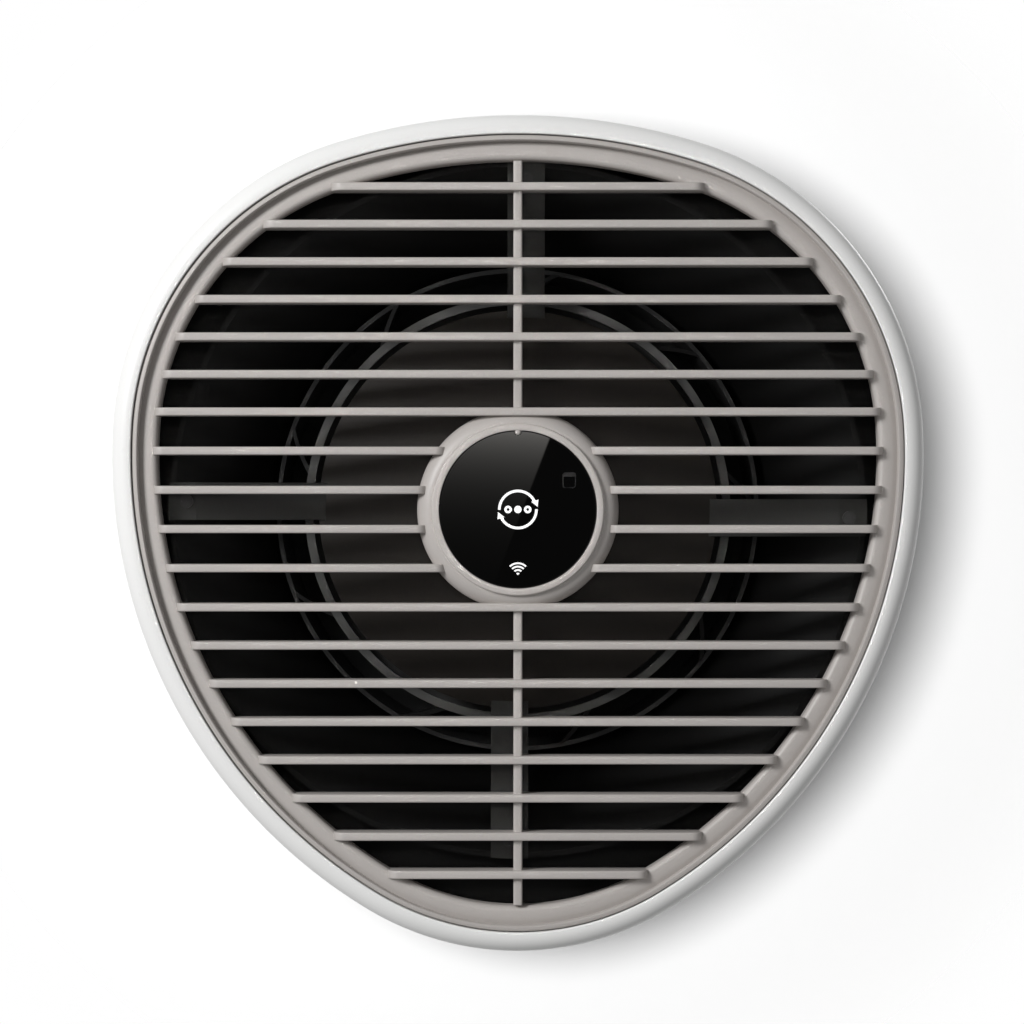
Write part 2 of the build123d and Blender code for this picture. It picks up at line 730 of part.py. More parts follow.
def hood_louvres():
    """Sloping louvres in front of both air paths, welded into the skin."""
    inside = turned((0, WALL + 6), (HOOD_R - 3.0, WALL + 6), (HOOD_R - 13.6, HOOD_FRONT - 1.5),
                    (HOOD_R - 16, HOOD_FRONT - 0.5), (0, HOOD_FRONT - 0.5))
    louvres = []
    for k in range(-LOUVRES // 2 + 1, LOUVRES // 2 + 1):
        blade = Pos(0, HOOD_FRONT - 9, k * LOUVRE_PITCH) * Rot(-38, 0, 0) * Box(260, 19, 2.0)
        louvres.append(blade & inside)
    return join(louvres[0], louvres[1:]) - hood_cover()


def hood_mesh():
    """Insect guard behind the louvres."""
    front, back = 337.0, 338.0
    reach = HOOD_R - 12
    rim = ring(reach, reach - 3, front, back)
    inside = disc(reach - 1, front, back)
    lines = [13.0 * k for k in range(-8, 9)]
    wires = [block((v - 0.6, v + 0.6), (front, back), (-reach, reach)) for v in lines]
    wires += [block((-reach, reach), (front, back), (v - 0.6, v + 0.6)) for v in lines]
    grid = join(wires[0], wires[1:]) & inside
    return join(rim, [grid])


def hood_screws():
    screw = pan_screw(1.3, 9.0, HEAD_SEAT, 1)
    return around(Pos(HOOD_R - 7, 0, 0) * screw, HOOD_SCREWS, 45)


# ---------------------------------------------------------------- write every node

def main():
    os.makedirs("parts", exist_ok=True)
    nodes = {
        "wall_sleeve": wall_sleeve(),
        "wall_plate": wall_plate(),
        "plate_seal": plate_seal(),
        "plate_clips": plate_clips(),
        "cable_grommet": cable_grommet(),
        "terminal_block": terminal_block(),
        "terminal_screws": terminal_screws(),
        "power_board": power_board(),
        "board_parts": board_parts(),
        "contact_socket": contact_socket(),
        "exhaust_duct": exhaust_duct(),
        "exhaust_carrier": exhaust_carrier(),
        "exhaust_stator": stator(*EXHAUST_MOTOR),
        "exhaust_windings": windings(*EXHAUST_MOTOR),
        "exhaust_bearings": bearings(*EXHAUST_MOTOR),
        "fresh_filter": fresh_filter(),
        "hood_base": hood_base(),
        "hood_cover": hood_cover(),
        "hood_louvres": hood_louvres(),
        "hood_mesh": hood_mesh(),
        "hood_screws": hood_screws(),
        "core_casing": core_casing(),
        "core_plates": core_plates(),
        "core_room_grid": core_grid(CORE_Y[0], CORE_Y[0] + 7.5),
        "core_outer_grid": core_grid(CORE_Y[1] - 7.5, CORE_Y[1]),
        "core_seal": core_seal(),
        "core_end_seal": core_end_seal(),
        "core_handle": core_handle(),
        "filter_frame": filter_frame(),
        "filter_pleats": filter_pleats(),
        "outer_shell": outer_shell(),
        "keeper_plates": keeper_plates(),
        "diffuser_bowl": diffuser_bowl(),
        "bowl_screws": bowl_screws(),
        "inlet_duct": inlet_duct(),
        "duct_seal": duct_seal(),
        "motor_carrier": motor_carrier(),
        "strut_screws": strut_screws(),
        "motor_dome": motor_dome(),
        "supply_stator": stator(*SUPPLY_MOTOR),
        "supply_windings": windings(*SUPPLY_MOTOR),
        "supply_bearings": bearings(*SUPPLY_MOTOR),
        "contact_plug": contact_plug(),
        "front_grille": front_grille(),
        "grille_magnets": grille_magnets(),
        "bezel_ring": bezel_ring(),
        "display_glass": display_glass(),
        "display_board": display_board(),
        "display_housing": display_housing(),
        "housing_screws": housing_screws(),
        "supply_impeller": supply_impeller(),
        "supply_blades": supply_blades(),
        "supply_shroud": supply_shroud(),
        "supply_rotor_cup": rotor_cup(*SUPPLY_MOTOR),
        "supply_magnets": magnet_ring(*SUPPLY_MOTOR),
        "supply_shaft": shaft(*SUPPLY_MOTOR),
        "exhaust_impeller": exhaust_impeller(),
        "exhaust_rotor_cup": rotor_cup(*EXHAUST_MOTOR),
        "exhaust_magnets": magnet_ring(*EXHAUST_MOTOR),
        "exhaust_shaft": shaft(*EXHAUST_MOTOR),
    }
    for node, shape in nodes.items():
        export(node, shape)


main()
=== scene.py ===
from math import asin, atan2, cos, hypot, pi, radians, sin, sqrt
import bmesh
import bpy
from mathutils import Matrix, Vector


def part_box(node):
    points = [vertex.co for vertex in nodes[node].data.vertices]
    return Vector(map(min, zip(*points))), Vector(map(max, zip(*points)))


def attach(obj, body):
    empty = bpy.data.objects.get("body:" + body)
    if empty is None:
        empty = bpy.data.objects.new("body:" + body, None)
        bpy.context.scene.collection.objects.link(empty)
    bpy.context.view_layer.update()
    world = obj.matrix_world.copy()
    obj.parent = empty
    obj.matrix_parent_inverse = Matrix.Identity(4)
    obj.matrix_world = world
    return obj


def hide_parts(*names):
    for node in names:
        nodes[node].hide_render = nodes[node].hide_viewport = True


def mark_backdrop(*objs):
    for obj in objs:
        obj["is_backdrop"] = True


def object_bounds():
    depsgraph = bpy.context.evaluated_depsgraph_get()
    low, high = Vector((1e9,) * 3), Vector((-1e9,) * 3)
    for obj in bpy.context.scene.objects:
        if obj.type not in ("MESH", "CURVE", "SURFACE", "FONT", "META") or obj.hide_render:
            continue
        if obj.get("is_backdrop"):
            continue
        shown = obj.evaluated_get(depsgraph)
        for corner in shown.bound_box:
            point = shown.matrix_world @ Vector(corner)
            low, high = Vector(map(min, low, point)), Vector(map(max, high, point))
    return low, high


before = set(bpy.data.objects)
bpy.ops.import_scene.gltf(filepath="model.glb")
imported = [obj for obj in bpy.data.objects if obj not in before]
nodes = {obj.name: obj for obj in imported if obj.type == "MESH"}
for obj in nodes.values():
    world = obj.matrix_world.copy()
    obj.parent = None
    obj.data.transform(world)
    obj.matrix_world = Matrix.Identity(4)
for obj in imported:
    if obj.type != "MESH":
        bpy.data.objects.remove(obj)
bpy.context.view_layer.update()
MM = 0.001


# Outer shell: the white cover, one injection moulding with a thin skirt, a fully
# rounded front rim and a short guide inside it for the grille.  Its outline is six
# arcs that run into each other; it is pushed over the wall plate's spring clips.
ARCS = (                                    # centre and radius, right half, going up
    ((0.0, -0.0538), 0.0972),               # bottom
    (None, 0.1825),                         # side: its centre follows from its neighbours
    ((0.0319, 0.0231), 0.1062),             # upper corner
    (None, 0.2133),                         # top
)
RIM = 7.15 * MM
FRONT = -100 * MM
SHELL_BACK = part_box("outer_shell")[1].y


def direction(start, end):
    return atan2(end[1] - start[1], end[0] - start[0])


def seam_arcs():
    """The right half of the seam as (centre, radius, first angle, last angle)."""
    (bottom, r_bottom), (_, r_side), (corner, r_corner), (_, r_top) = ARCS
    apart = hypot(corner[0] - bottom[0], corner[1] - bottom[1])
    near, far = r_side - r_bottom, r_side - r_corner
    along = (near ** 2 - far ** 2 + apart ** 2) / (2 * apart)
    across = sqrt(near ** 2 - along ** 2)
    ux, uz = (corner[0] - bottom[0]) / apart, (corner[1] - bottom[1]) / apart
    side = (bottom[0] + ux * along - uz * across, bottom[1] + uz * along + ux * across)
    top = (0.0, corner[1] - sqrt((r_top - r_corner) ** 2 - corner[0] ** 2))
    turns = [-pi / 2, direction(side, bottom), direction(side, corner),
             direction(top, corner), pi / 2]
    centres = (bottom, side, corner, top)
    radii = (r_bottom, r_side, r_corner, r_top)
    return [(centres[k], radii[k], turns[k], turns[k + 1]) for k in range(4)]


SEAM = seam_arcs()


def seam_points(step=1.3 * MM):
    """(x, z, outward x, outward z) all the way round, anticlockwise from the bottom."""
    right = []
    for (cx, cz), radius, first, last in SEAM:
        count = max(2, round(radius * (last - first) / step))
        for k in range(count):
            turn = first + (last - first) * k / count
            right.append((cx + radius * cos(turn), cz + radius * sin(turn), cos(turn), sin(turn)))
    top = (0.0, SEAM[3][0][1] + SEAM[3][1], 0.0, 1.0)
    left = [(-x, z, -nx, nz) for x, z, nx, nz in reversed(right[1:])]
    return right + [top] + left


def seam_half_width(z, grow=0.0):
    """Half the width inside the seam at height z, with the seam moved outwards by grow."""
    for (cx, cz), radius, first, last in SEAM:
        reach = (z - cz) / (radius + grow)
        if abs(reach) <= 1 and first <= asin(reach) <= last:
            return cx + (radius + grow) * cos(asin(reach))
    raise ValueError("height outside the seam")


def bend(centre, radius, first, last, steps=8):
    """Points on an arc, angles in degrees."""
    turns = [radians(first + (last - first) * k / steps) for k in range(steps + 1)]
    return [(centre[0] + radius * cos(t), centre[1] + radius * sin(t)) for t in turns]


def piece(name, verts, faces, look, body, sharp=40, stands_for=(), slot=None):
    """A finished mesh object: welded, outward-facing, smooth but for its sharp edges."""
    mesh = bpy.data.meshes.new(name)
    mesh.from_pydata(verts, [], faces)
    work = bmesh.new()
    work.from_mesh(mesh)
    bmesh.ops.remove_doubles(work, verts=work.verts, dist=1e-6)
    bmesh.ops.recalc_face_normals(work, faces=work.faces)
    work.to_mesh(mesh)
    work.free()
    return keep(mesh, name, look, body, sharp, stands_for)


def keep(mesh, name, look, body, sharp=40, stands_for=()):
    """Put a mesh in the scene as a piece that rides on a body."""
    mesh.name = name
    mesh.shade_smooth()
    mesh.set_sharp_from_angle(angle=radians(sharp))
    mesh.materials.clear()
    mesh.materials.append(look)
    made = bpy.data.objects.new(name, mesh)
    bpy.context.scene.collection.objects.link(made)
    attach(made, body)
    if stands_for:
        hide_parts(*stands_for)
    return made


def swept(section, points):
    """Closed (outwards, y) section carried round the seam: vertices and faces."""
    verts = [(x + nx * out, y, z + nz * out) for x, z, nx, nz in points for out, y in section]
    size, count = len(section), len(points)
    faces = []
    for i in range(count):
        a, b = i * size, (i + 1) % count * size
        for j in range(size):
            k = (j + 1) % size
            faces.append((a + j, a + k, b + k, b + j))
    return verts, faces


def shade(tree, kind, **settings):
    made = tree.nodes.new(kind)
    for key, value in settings.items():
        setattr(made, key, value)
    return made


def plastic(name, colour, roughness=0.45, grain=0.25, grain_size=0.45, mottle=0.04, specular=0.4):
    """Moulded plastic: fine spark-eroded grain in the bump, slight drift in colour and gloss."""
    look = bpy.data.materials.new(name)
    look.use_nodes = True
    tree = look.node_tree
    shader = tree.nodes["Principled BSDF"]
    place = shade(tree, "ShaderNodeTexCoord").outputs["Object"]
    drift = shade(tree, "ShaderNodeTexNoise")
    drift.inputs["Scale"].default_value = 28
    drift.inputs["Detail"].default_value = 4
    tint = shade(tree, "ShaderNodeValToRGB")
    tint.color_ramp.elements[0].position = 0.3
    tint.color_ramp.elements[1].position = 0.7
    tint.color_ramp.elements[0].color = [c * (1 - mottle) for c in colour] + [1]
    tint.color_ramp.elements[1].color = [min(1, c * (1 + mottle)) for c in colour] + [1]
    gloss = shade(tree, "ShaderNodeMapRange")
    gloss.inputs["To Min"].default_value = roughness - 0.05
    gloss.inputs["To Max"].default_value = roughness + 0.05
    fine = shade(tree, "ShaderNodeTexNoise")
    fine.inputs["Scale"].default_value = 1 / (grain_size * MM)
    fine.inputs["Detail"].default_value = 3
    relief = shade(tree, "ShaderNodeBump")
    relief.inputs["Strength"].default_value = grain
    relief.inputs["Distance"].default_value = 0.02 * MM
    shader.inputs["Specular IOR Level"].default_value = specular
    tree.links.new(place, drift.inputs["Vector"])
    tree.links.new(place, fine.inputs["Vector"])
    tree.links.new(drift.outputs["Fac"], tint.inputs["Fac"])
    tree.links.new(tint.outputs["Color"], shader.inputs["Base Color"])
    tree.links.new(drift.outputs["Fac"], gloss.inputs["Value"])
    tree.links.new(gloss.outputs["Result"], shader.inputs["Roughness"])
    tree.links.new(fine.outputs["Fac"], relief.inputs["Height"])
    tree.links.new(relief.outputs["Normal"], shader.inputs["Normal"])
    return look


white_satin = plastic("white_satin", (0.87, 0.87, 0.86), roughness=0.38, grain=0.12, mottle=0.008)
crown = 6.1 * MM
skin = 2.55 * MM
shell_section = (
    [(RIM - 0.4 * MM, SHELL_BACK), (RIM, SHELL_BACK - 0.4 * MM)]
    + bend((RIM - crown, FRONT + 0.5 * MM + crown), crown, 0, -90, 14)
    + bend((0.5 * MM, FRONT + 1.0 * MM), 0.5 * MM, -90, -180, 5)
    + [(0, -86 * MM), (1.6 * MM, -86 * MM), (1.6 * MM, FRONT + 4.5 * MM), (RIM - skin, FRONT + 4.5 * MM)]
    + [(RIM - skin, SHELL_BACK - 0.2 * MM), (RIM - skin + 0.4 * MM, SHELL_BACK)]
)
piece("shell_cover", *swept(shell_section, seam_points()), white_satin, "room_unit",
      stands_for=["outer_shell"], slot="shell_white")


# Front grille: one warm grey moulding of a coved frame, full-width slats, slats cut
# short at the hub, an upright rib behind them and the hub cup that carries the
# display.  It snaps on to the shell by four magnets and lifts off towards the room.
def feed(tree, kind, feeds, **settings):
    """A node with its inputs linked or set, given as {socket: link or value}."""
    made = shade(tree, kind, **settings)
    for socket, value in feeds.items():
        if isinstance(value, bpy.types.NodeSocket):
            tree.links.new(value, made.inputs[socket])
        else:
            made.inputs[socket].default_value = value
    return made.outputs[0]


def sums(tree, operation, *values):
    return feed(tree, "ShaderNodeMath", dict(enumerate(values)), operation=operation)


def node_group(name, sockets):
    """Empty Geometry Nodes tree with named inputs; returns it with its two end nodes."""
    tree = bpy.data.node_groups.new(name, "GeometryNodeTree")
    tree.interface.new_socket("Geometry", in_out="INPUT", socket_type="NodeSocketGeometry")
    for title, kind in sockets.items():
        tree.interface.new_socket(title, in_out="INPUT", socket_type="NodeSocket" + kind)
    tree.interface.new_socket("Geometry", in_out="OUTPUT", socket_type="NodeSocketGeometry")
    return tree, tree.nodes.new("NodeGroupInput").outputs, tree.nodes.new("NodeGroupOutput")


def grown(tree, seed_mesh, values):
    """The plain mesh a tree makes of a seed mesh."""
    seed = bpy.data.objects.new("seed", seed_mesh)
    bpy.context.scene.collection.objects.link(seed)
    modifier = seed.modifiers.new("grow", "NODES")
    modifier.node_group = tree
    for socket in tree.interface.items_tree:
        if socket.name in values:
            modifier[socket.identifier] = values[socket.name]
    made = bpy.data.meshes.new_from_object(seed.evaluated_get(bpy.context.evaluated_depsgraph_get()))
    seed.modifiers.remove(modifier)
    bpy.data.objects.remove(seed)
    return made


def bars_tree():
    """Bars along X, one per point: softened edges, front corners rounded in plan."""
    tree, given, out = node_group("Bars", {
        "Thickness": "Float", "Depth": "Float", "Edge Radius": "Float", "End Radius": "Float",
        "Front": "Float", "Steps": "Int", "Material": "Material"})
    half = feed(tree, "GeometryNodeInputNamedAttribute", {"Name": "half"})
    middle = feed(tree, "GeometryNodeInputNamedAttribute", {"Name": "middle"})
    count = sums(tree, "MULTIPLY", given["Steps"], 2)
    line = feed(tree, "GeometryNodeCurvePrimitiveLine", {"Start": (-1, 0, 0), "End": (1, 0, 0)})
    rail = feed(tree, "GeometryNodeResampleCurve", {"Curve": line, "Count": count})
    stretch = feed(tree, "ShaderNodeCombineXYZ", {"X": half, "Y": 1, "Z": 1})
    rails = feed(tree, "GeometryNodeInstanceOnPoints",
                 {"Points": given["Geometry"], "Instance": rail, "Scale": stretch})
    rails = feed(tree, "GeometryNodeRealizeInstances", {"Geometry": rails})
    place = feed(tree, "GeometryNodeInputPosition", {})
    split = shade(tree, "ShaderNodeSeparateXYZ")
    tree.links.new(place, split.inputs["Vector"])
    along = sums(tree, "DIVIDE", sums(tree, "SUBTRACT", split.outputs["X"], middle), half)
    last = sums(tree, "SUBTRACT", count, 1)
    inward = sums(tree, "SUBTRACT", 1, sums(tree, "ABSOLUTE", along))
    widest = sums(tree, "SUBTRACT", 1, sums(tree, "DIVIDE", 1, last))
    angle = sums(tree, "MULTIPLY", sums(tree, "DIVIDE", inward, widest), pi / 2)
    short = sums(tree, "MULTIPLY", given["End Radius"],
                 sums(tree, "SUBTRACT", 1, sums(tree, "COSINE", angle)))
    retreat = sums(tree, "MULTIPLY", given["End Radius"],
                   sums(tree, "SUBTRACT", 1, sums(tree, "SINE", angle)))
    rails = feed(tree, "GeometryNodeStoreNamedAttribute",
                 {"Geometry": rails, "Name": "retreat", "Value": retreat}, domain="POINT")
    reach = sums(tree, "MULTIPLY", sums(tree, "SIGN", along), sums(tree, "SUBTRACT", half, short))
    spot = feed(tree, "ShaderNodeCombineXYZ",
                {"X": sums(tree, "ADD", middle, reach), "Y": split.outputs["Y"], "Z": split.outputs["Z"]})
    rails = feed(tree, "GeometryNodeSetPosition", {"Geometry": rails, "Position": spot})
    shape = feed(tree, "GeometryNodeCurvePrimitiveQuadrilateral",
                 {"Width": given["Depth"], "Height": given["Thickness"]})
    shape = feed(tree, "GeometryNodeFilletCurve",
                 {"Curve": shape, "Radius": given["Edge Radius"], "Count": 4}, mode="POLY")
    bars = feed(tree, "GeometryNodeCurveToMesh",
                {"Curve": rails, "Profile Curve": shape, "Fill Caps": True})
    held = feed(tree, "GeometryNodeInputNamedAttribute", {"Name": "retreat"})
    after = shade(tree, "ShaderNodeSeparateXYZ")
    tree.links.new(place, after.inputs["Vector"])
    near_front = sums(tree, "LESS_THAN", after.outputs["Y"],
                      sums(tree, "ADD", given["Front"], sums(tree, "MULTIPLY", given["Depth"], 0.4)))
    shift = feed(tree, "ShaderNodeCombineXYZ", {"X": 0, "Y": held, "Z": 0})
    bars = feed(tree, "GeometryNodeSetPosition",
                {"Geometry": bars, "Selection": near_front, "Offset": shift})
    bars = feed(tree, "GeometryNodeRealizeInstances", {"Geometry": bars})
    bars = feed(tree, "GeometryNodeSetMaterial", {"Geometry": bars, "Material": given["Material"]})
    tree.links.new(bars, out.inputs[0])
    return tree


BARS = bars_tree()


def bars(spans, y, thickness, depth, edge, end, look):
    """Bars from (first x, last x, z) spans, their front faces at y."""
    seed = bpy.data.meshes.new("seed")
    seed.from_pydata([((a + b) / 2, y + depth / 2, z) for a, b, z in spans], [], [])
    for name, numbers in (("half", [(b - a) / 2 for a, b, z in spans]),
                          ("middle", [(a + b) / 2 for a, b, z in spans])):
        seed.attributes.new(name, "FLOAT", "POINT").data.foreach_set("value", numbers)
    mesh = grown(BARS, seed, {"Thickness": thickness, "Depth": depth, "Edge Radius": edge,
                              "End Radius": end, "Front": y, "Steps": 7, "Material": look})
    return [tuple(v.co) for v in mesh.vertices], [tuple(f.vertices) for f in mesh.polygons]


def lathe(profile, steps=192):
    """Closed (radius, y) profile turned about the duct axis."""
    size = len(profile)
    verts = []
    for i in range(steps):
        angle = 2 * pi * i / steps
        verts += [(r * cos(angle), y, r * sin(angle)) for r, y in profile]
    faces = []
    for i in range(steps):
        a, b = i * size, (i + 1) % steps * size
        for j in range(size):
            k = (j + 1) % size
            faces.append((a + j, a + k, b + k, b + j))
    return verts, faces


def merged(*parts):
    """Several (vertices, faces) pairs as one."""
    verts, faces = [], []
    for more_verts, more_faces in parts:
        start = len(verts)
        verts += more_verts
        faces += [tuple(start + i for i in face) for face in more_faces]
    return verts, faces


warm_grey = plastic("warm_grey", (0.465, 0.437, 0.417), roughness=0.42, grain=0.16, mottle=0.012)
frame_section = [(-inwards * MM, y * MM) for inwards, y in (   # lip, step down, rounded inner edge, back
    [(0.4, -89)]
    + [(2.0 - 1.6 * cos(radians(a)), -98.0 - 0.9 * sin(radians(a))) for a in range(0, 91, 15)]
    + [(2.2, -98.75), (2.35, -98.4), (2.45, -95.0)]
    + [(7.2 - 4.7 * cos(radians(a)), -94.6 - 1.4 * sin(radians(a))) for a in range(25, 91, 13)]
    + [(7.2 + 2.0 * sin(radians(a)), -94.0 - 2.0 * cos(radians(a))) for a in range(10, 91, 10)]
    + [(9.2, -88.5), (7.7, -88.5), (7.7, -93.2), (6.6, -94.2), (3.6, -93.2), (2.4, -89)]
)]
SLAT = 2.9 * MM
SLAT_INSET = 7.7 * MM
PITCHES = (13.97 * MM, 13.39 * MM, 13.63 * MM)      # beside the hub, above it, below it
HUB_R = 36.1 * MM
HUB_STOP = 33.2 * MM                                # short slats end at this radius
slats = []
edge_z = 2.5 * PITCHES[0]
above = [edge_z + PITCHES[1] * k for k in range(7)]
below = [-edge_z - PITCHES[2] * k for k in range(8)]
for z in above + below:
    reach = seam_half_width(z, -SLAT_INSET)
    slats.append((-reach, reach, z))
for z in [PITCHES[0] * k for k in (-1.5, -0.5, 0.5, 1.5)]:
    reach = seam_half_width(z, -SLAT_INSET)
    start = sqrt(HUB_STOP ** 2 - z ** 2)
    slats += [(start, reach, z), (-reach, -start, z)]
slat_bars = bars(slats, FRONT, SLAT, 12 * MM, 0.5 * MM, 4.0 * MM, warm_grey)
UPRIGHT_INSET = 9.5 * MM
UPRIGHT_SINK = 2.5 * MM                             # the rib stands this far behind the slats' fronts
OVERLAP = 1 * MM                                    # the rib runs into the cup by this much
top_z = SEAM[3][0][1] + SEAM[3][1] - UPRIGHT_INSET
low_z = SEAM[0][0][1] - SEAM[0][1] + UPRIGHT_INSET
uprights = bars([(HUB_R - OVERLAP, top_z, 0), (low_z, OVERLAP - HUB_R, 0)],
                FRONT + UPRIGHT_SINK, 3.2 * MM, 9.5 * MM, 0.7 * MM, 0.4 * MM, warm_grey)
uprights = [(-z, y, x) for x, y, z in uprights[0]], uprights[1]
cup = [(r * MM, y * MM) for r, y in (
    [(36.1, -88), (36.1, -93.4)]
    + [(30.1 + 6.0 * cos(radians(a)), -93.4 - 6.0 * sin(radians(a))) for a in range(9, 82, 9)]
    + [(30.72, -99.3), (30.72, -98.2), (27, -98.2), (27, -96.4), (32.2, -96.2), (34.2, -93.0), (34.2, -88)]
)]
piece("grille_moulding", *merged(swept(frame_section, seam_points()), slat_bars, uprights, lathe(cup)),
      warm_grey, "grille", sharp=35, stands_for=["front_grille"], slot="grille_taupe")


# Display: a warm grey bezel pressed into the hub cup round a black glass disc.  The
# bezel has a small pip at the top that sits in a notch of the glass; white symbols
# are lit through the glass.
GLASS_R = 28.1 * MM
PIP_R = 1.05 * MM
bezel_grey = plastic("bezel_grey", (0.50, 0.468, 0.445), roughness=0.36, grain=0.10, mottle=0.01)
glass_low, glass_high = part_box("display_glass")
bezel_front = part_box("bezel_ring")[0].y
band = [(r * MM, y) for r, y in (
    [(28.2, glass_high.y), (28.2, bezel_front + 0.2 * MM), (28.26, bezel_front + 0.06 * MM)]
    + [(28.45, bezel_front), (30.25, bezel_front), (30.5, bezel_front + 0.1 * MM)]
    + [(30.65, bezel_front + 0.3 * MM), (30.75, bezel_front + 0.9 * MM), (30.75, glass_high.y)]
)]
pip_at = GLASS_R - 0.5 * MM
pip = lathe([(0.01 * MM, -100 * MM), (PIP_R, -100 * MM), (PIP_R, bezel_front + 0.55 * MM)]
            + [(PIP_R * cos(radians(a)), bezel_front + (0.55 - 0.5 * sin(radians(a))) * MM)
               for a in range(15, 90, 15)] + [(0.01 * MM, bezel_front + 0.05 * MM)], 32)
pip = [(x, y, z + pip_at) for x, y, z in pip[0]], pip[1]
piece("bezel", *merged(lathe(band), pip), bezel_grey, "grille", sharp=35,
      stands_for=["bezel_ring"], slot="grille_taupe")


def plate(outline, front, back):
    """Flat prism from an (x, z) outline, front face towards the room."""
    count = len(outline)
    verts = [(x, front, z) for x, z in outline] + [(x, back, z) for x, z in outline]
    sides = [(k, (k + 1) % count, count + (k + 1) % count, count + k) for k in range(count)]
    return verts, [tuple(range(count)), tuple(range(2 * count - 1, count - 1, -1))] + sides


def glass_outline(radius, notch):
    """Circle with a round bite at the top, where the bezel's pip sits."""
    swing = asin(notch / radius)
    rim = [(radius * sin(a), radius * cos(a))
           for a in (swing + (2 * pi - 2 * swing) * k / 240 for k in range(241))]
    bite = [(notch * cos(a), pip_at + notch * sin(a))
            for a in (radians(170 + 200 * k / 12) for k in range(13))]
    return rim + bite


black_glass = bpy.data.materials.new("black_glass")
black_glass.use_nodes = True
tree = black_glass.node_tree
shader = tree.nodes["Principled BSDF"]
shader.inputs["Base Color"].default_value = (0.0022, 0.0022, 0.0022, 1)
shader.inputs["IOR"].default_value = 1.5
place = shade(tree, "ShaderNodeTexCoord").outputs["Object"]
smear = feed(tree, "ShaderNodeTexNoise", {"Vector": place, "Scale": 60.0, "Detail": 2.0})
gloss = feed(tree, "ShaderNodeMapRange", {"Value": smear, "To Min": 0.004, "To Max": 0.012})
tree.links.new(gloss, shader.inputs["Roughness"])
bevel = 0.3 * MM
outlines = [glass_outline(r, PIP_R + 0.25 * MM) for r in (GLASS_R - bevel, GLASS_R, GLASS_R)]
stations = [glass_low.y, glass_low.y + bevel, glass_high.y]
size = len(outlines[0])
disc_verts = [(x, y, z) for ring, y in zip(outlines, stations) for x, z in ring]
disc_faces = [tuple(range(size)), tuple(range(3 * size - 1, 2 * size - 1, -1))]
for row in range(2):
    a, b = row * size, (row + 1) * size
    disc_faces += [(a + k, a + (k + 1) % size, b + (k + 1) % size, b + k) for k in range(size)]
piece("display_disc", disc_verts, disc_faces, black_glass, "grille", sharp=25,
      stands_for=["display_glass"], slot="display_black")

glow_white = bpy.data.materials.new("glow_white")
glow_white.use_nodes = True
shader = glow_white.node_tree.nodes["Principled BSDF"]
shader.inputs["Base Color"].default_value = (0.8, 0.8, 0.8, 1)
shader.inputs["Emission Color"].default_value = (1, 1, 1, 1)
shader.inputs["Emission Strength"].default_value = 0.45
faint_grey = plastic("faint_grey", (0.009, 0.009, 0.0095), roughness=0.4, grain=0.0, specular=0.1)
ink_front = glass_low.y - 0.03 * MM


def stroke(centre, radius, width, first, last, steps=40):
    """Arc of a flat symbol as a prism; angles in degrees, anticlockwise from +X."""
    outer = bend(centre, radius + width / 2, first, last, steps)
    inner = bend(centre, radius - width / 2, last, first, steps)
    verts, faces = plate(outer + inner, ink_front, glass_low.y)
    count = 2 * steps + 2
    faces = faces[2:]
    for k in range(steps):
        quad = (k, k + 1, count - 2 - k, count - 1 - k)
        faces += [quad, tuple(count + i for i in reversed(quad))]
    return verts, faces


def mirrored(part):
    """A symbol turned half round."""
    return [(-x, y, -z) for x, y, z in part[0]], part[1]


arrow = merged(
    stroke((0, 0), 6.6 * MM, 0.95 * MM, 22, 181),
    plate([(7.05 * MM, 0.9 * MM), (4.75 * MM, 2.75 * MM), (7.3 * MM, 3.5 * MM)], ink_front, glass_low.y))
dots = [stroke((0, 0), 0.67 * MM, 1.32 * MM, 0, 360)]
for side in (-3.5 * MM, 3.5 * MM):
    dots.append(stroke((side, 0), 0.92 * MM, 0.86 * MM, 0, 360))
wave_at = (0, -23.3 * MM)
waves = [stroke(wave_at, r * MM, 0.62 * MM, 46, 134, 20) for r in (1.75, 2.95, 4.15)]
waves.append(stroke((0, wave_at[1] - 0.1 * MM), 0.45 * MM, 0.85 * MM, 46, 134, 8))
piece("display_symbols", *merged(arrow, mirrored(arrow), *dots, *waves), glow_white, "grille")
tank_at = (18.3 * MM, 10.4 * MM)
half_w, half_h = 2.2 * MM, 2.6 * MM
corner_r = 0.9 * MM
line = 0.4 * MM
tank = []
for side, up, turn in ((1, 1, 0), (-1, 1, 90), (-1, -1, 180), (1, -1, 270)):
    centre = (tank_at[0] + side * (half_w - corner_r), tank_at[1] + up * (half_h - corner_r))
    tank.append(stroke(centre, corner_r, line, turn, turn + 90, 8))
for left, low, right, top in ((-1.3, 2.4, 1.3, 2.8), (-1.3, -2.8, 1.3, -2.4), (-2.4, -1.7, -2.0, 1.7),
                              (2.0, -1.7, 2.4, 1.7), (-2.0, 1.3, 2.0, 2.4)):
    corners = [(left, low), (right, low), (right, top), (left, top)]
    outline = [(tank_at[0] + x * MM, tank_at[1] + z * MM) for x, z in corners]
    tank.append(plate(outline, ink_front, glass_low.y))
piece("display_tank_symbol", *merged(*tank), faint_grey, "grille")


# Behind the display: the circuit board, the hub's rear cap and its screws, and the
# four magnets that hold the grille to steel keepers on the shell's bosses.
def dress(look, *names):
    """Give CAD nodes their material."""
    for name in names:
        nodes[name].data.materials.clear()
        nodes[name].data.materials.append(look)


